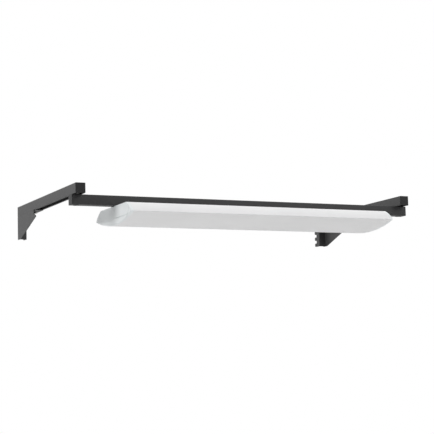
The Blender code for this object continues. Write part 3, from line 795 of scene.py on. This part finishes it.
FALL, GROOVE_W, GROOVE_D, CAP_WALL = 5.0, 3.0, 2.7, 8.0
for side, word in ((-1, "left"), (1, "right")):
    face_x = side * LAMP_HALF
    cap = show(f"{word}_end_cap_moulding", to_mesh(moulding(side, 2.6), "end_cap"), CAPW, "crossbar", [f"{word}_end_cap"])
    inner = sorted((face_x - side * CAP_WALL, face_x - side * (CAP_DEEP + 3.0)))
    hollow = helper(f"{word}_hollow", to_mesh(prism(pocket, inner, along_x(lamp(0, 0, 0))), "hollow"))
    reach = sorted((face_x + side * 3.0, face_x - side * GROOVE_D))
    bm = strip(*two_sides(groove, GROOVE_W), reach, along_x(lamp(0, 0, 0)))
    cutter = helper(f"{word}_groove_cut", to_mesh(bm, "groove_cut"))
    carve(cap, hollow, cutter)
    flatten(cap)

# ------------------------------------------------------------------ inside the luminaire
path = filleted([(-110, -2.7), (-96, -2.7), (-96, -24), (96, -24), (96, -2.7), (110, -2.7)], 1.2, 5)
bm = strip(*two_sides(path, 1.0), (-INNER_HALF + 22, INNER_HALF - 22), along_x(lamp(0, 0, 0)))
gear = show("gear_tray_sheet", to_mesh(bm, "gear_sheet"), WHITE, "crossbar", ["gear_tray"])
soften(gear, 0.2, 2, 60)

number = 0
for row in (-48, 48):
    for half in (-1, 1):
        number += 1
        bm = bmesh.new()
        x0, x1 = sorted((half * 6, half * 470))
        low, high = Vector(lamp(x0, row - 12, 26.4)), Vector(lamp(x1, row + 12, 24.8))
        box(bm, low, high)
        body_faces = len(bm.faces)
        chips = 58
        for k in range(chips):
            x = x0 + 10 + (x1 - x0 - 20) * k / (chips - 1)
            spot = Vector(lamp(x, row, 26.4))
            box(bm, spot + Vector((-1.75, -1.4, -0.75)), spot + Vector((1.75, 1.4, 0.1)))
        bm.faces.ensure_lookup_table()
        for f in bm.faces[body_faces:]:
            f.material_index = 1
        end = Vector(lamp(half * 18, row + 7, 26.4))
        at_connector = len(bm.faces)
        box(bm, end + Vector((-5, -3, -3.2)), end + Vector((5, 3, 0.1)))
        bm.faces.ensure_lookup_table()
        for f in bm.faces[at_connector:]:
            f.material_index = 2
        piece = show(f"led_board_{number}_populated", to_mesh(bm, "led_board"), [BOARD, PHOSPHOR, CASE], "crossbar", [f"led_board_{number}"])
        soften(piece, 0.12, 1, 60)

bm = bmesh.new()
box(bm, lamp(-150, -16, 22.9), lamp(130, 24, 5.5))
case = show("led_driver_case", to_mesh(bm, "driver_case"), CASE, "crossbar", ["led_driver"])
soften(case, 1.2, 3, 60)

bm = bmesh.new()
box(bm, lamp(372, 20, 23.1), lamp(412, 42, 9.0))
block = show("terminal_block_body", to_mesh(bm, "terminal_block"), GREY, "crossbar", ["terminal_block"])
soften(block, 0.8, 2, 60)
holes = []
for k in range(3):
    holes.append(drill(f"terminal_{k}", lamp(379.5 + 12.5 * k, 31, 9), 2.6, 8, 20))
carve(block, *holes)

bm = turned(
    [
        (4.2, 18.0), (5.4, 18.0), (7.4, 17.0), (8.4, 15.4), (8.7, 14.0), (8.7, 8.3), (10.4, 8.0), (10.5, 7.4),
        (10.5, 0.8), (10.0, GAP), (8.0, GAP), (8.0, -9), (4.2, -9),
    ],
    lamp(GLAND_X, GLAND_Y, 0), 48,
)
hex_prism(bm, lamp(GLAND_X, GLAND_Y, 0), 19.5, 0.9, 7.2)
show("cable_gland_body", to_mesh(bm, "cable_gland"), GREY, "crossbar", ["cable_gland"], smooth=30)

# ------------------------------------------------------------------ finishes of the small pieces kept from the solids
KEPT = {
    "gland_nut": GREY,
}
for name, node in NODES.items():
    if node.hide_render:
        continue
    node.data.materials.clear()
    node.data.materials.append(KEPT.get(name, ZINC))

# ------------------------------------------------------------------ stage, light, camera
bm = bmesh.new()
bmesh.ops.create_circle(bm, cap_ends=True, segments=96, radius=28.0)
floor = bpy.data.objects.new("floor", to_mesh(bm, "floor", flip=False))
bpy.context.scene.collection.objects.link(floor)
floor.location = (0, 0, -2.05)
n = Nodes("pale_floor")
n.tint(n.noise(0.8, 3), (0.80, 0.80, 0.80), (0.84, 0.84, 0.84))
n.set(Roughness=0.85)
floor.data.materials.append(n.mat)

scene = bpy.context.scene
world = bpy.data.worlds.new("studio")
scene.world = world
world.use_nodes = True
tree = world.node_tree
tree.nodes.clear()
out = tree.nodes.new("ShaderNodeOutputWorld")
mix = tree.nodes.new("ShaderNodeMixShader")
seen = tree.nodes.new("ShaderNodeBackground")
lit = tree.nodes.new("ShaderNodeBackground")
ray = tree.nodes.new("ShaderNodeLightPath")
where = tree.nodes.new("ShaderNodeTexCoord")
turned_sky = tree.nodes.new("ShaderNodeMapping")
axes = tree.nodes.new("ShaderNodeSeparateXYZ")
fade = tree.nodes.new("ShaderNodeMapRange")
seen.inputs["Color"].default_value = (1, 1, 1, 1)
seen.inputs["Strength"].default_value = 1.0
lit.inputs["Color"].default_value = (1, 1, 1, 1)
fade.inputs["From Min"].default_value = -0.85
fade.inputs["From Max"].default_value = 0.35
fade.inputs["To Min"].default_value = 0.05
fade.inputs["To Max"].default_value = 0.95
turned_sky.inputs["Rotation"].default_value = (0, 0, math.radians(30))
tree.links.new(where.outputs["Generated"], turned_sky.inputs["Vector"])
tree.links.new(turned_sky.outputs["Vector"], axes.inputs["Vector"])
tree.links.new(axes.outputs["Y"], fade.inputs["Value"])
tree.links.new(fade.outputs["Result"], lit.inputs["Strength"])
tree.links.new(ray.outputs["Is Camera Ray"], mix.inputs["Fac"])
tree.links.new(lit.outputs["Background"], mix.inputs[1])
tree.links.new(seen.outputs["Background"], mix.inputs[2])
tree.links.new(mix.outputs["Shader"], out.inputs["Surface"])


def softbox(name, at, towards, width, height, watts):
    data = bpy.data.lights.new(name, "AREA")
    data.shape = "RECTANGLE"
    data.size, data.size_y = width, height
    data.energy = watts
    obj = bpy.data.objects.new(name, data)
    scene.collection.objects.link(obj)
    obj.location = at
    obj.rotation_mode = "QUATERNION"
    obj.rotation_quaternion = (Vector(towards) - Vector(at)).to_track_quat("-Z", "Y")
    return obj


softbox("key_softbox", (-9.1, -1.3, 5.0), (-0.5, -0.6, 0), 3.7, 1.5, 435)
softbox("top_softbox", (0.6, -1.2, 3.5), (0.3, -0.6, 0), 3.5, 2.5, 35)
softbox("right_panel", (2.8, -4.5, 2.9), (0, -0.5, 0), 2.2, 2.4, 64)

FOCAL_PX = 1381.04
YAW, PITCH, ROLL = (math.radians(v) for v in (25.82, 7.209, -1.63))
forward = Vector((math.sin(YAW) * math.cos(PITCH), math.cos(YAW) * math.cos(PITCH), math.sin(PITCH)))
right = Vector((math.cos(YAW), -math.sin(YAW), 0))
up = right.cross(forward)
right, up = (
    math.cos(ROLL) * right + math.sin(ROLL) * up,
    -math.sin(ROLL) * right + math.cos(ROLL) * up,
)
data = bpy.data.cameras.new("camera")
data.sensor_width = 36.0
data.lens = FOCAL_PX / 434 * 36.0
data.clip_start, data.clip_end = 0.05, 300.0
camera = bpy.data.objects.new("camera", data)
scene.collection.objects.link(camera)
turn = Matrix((right, up, -forward)).transposed().to_4x4()
camera.matrix_world = Matrix.Translation(Vector((-2231.7, -4972.6, -649.0)) * MM) @ turn
scene.camera = camera

scene.view_settings.view_transform = "Standard"
scene.view_settings.look = "None"
scene.cycles.use_denoising = True
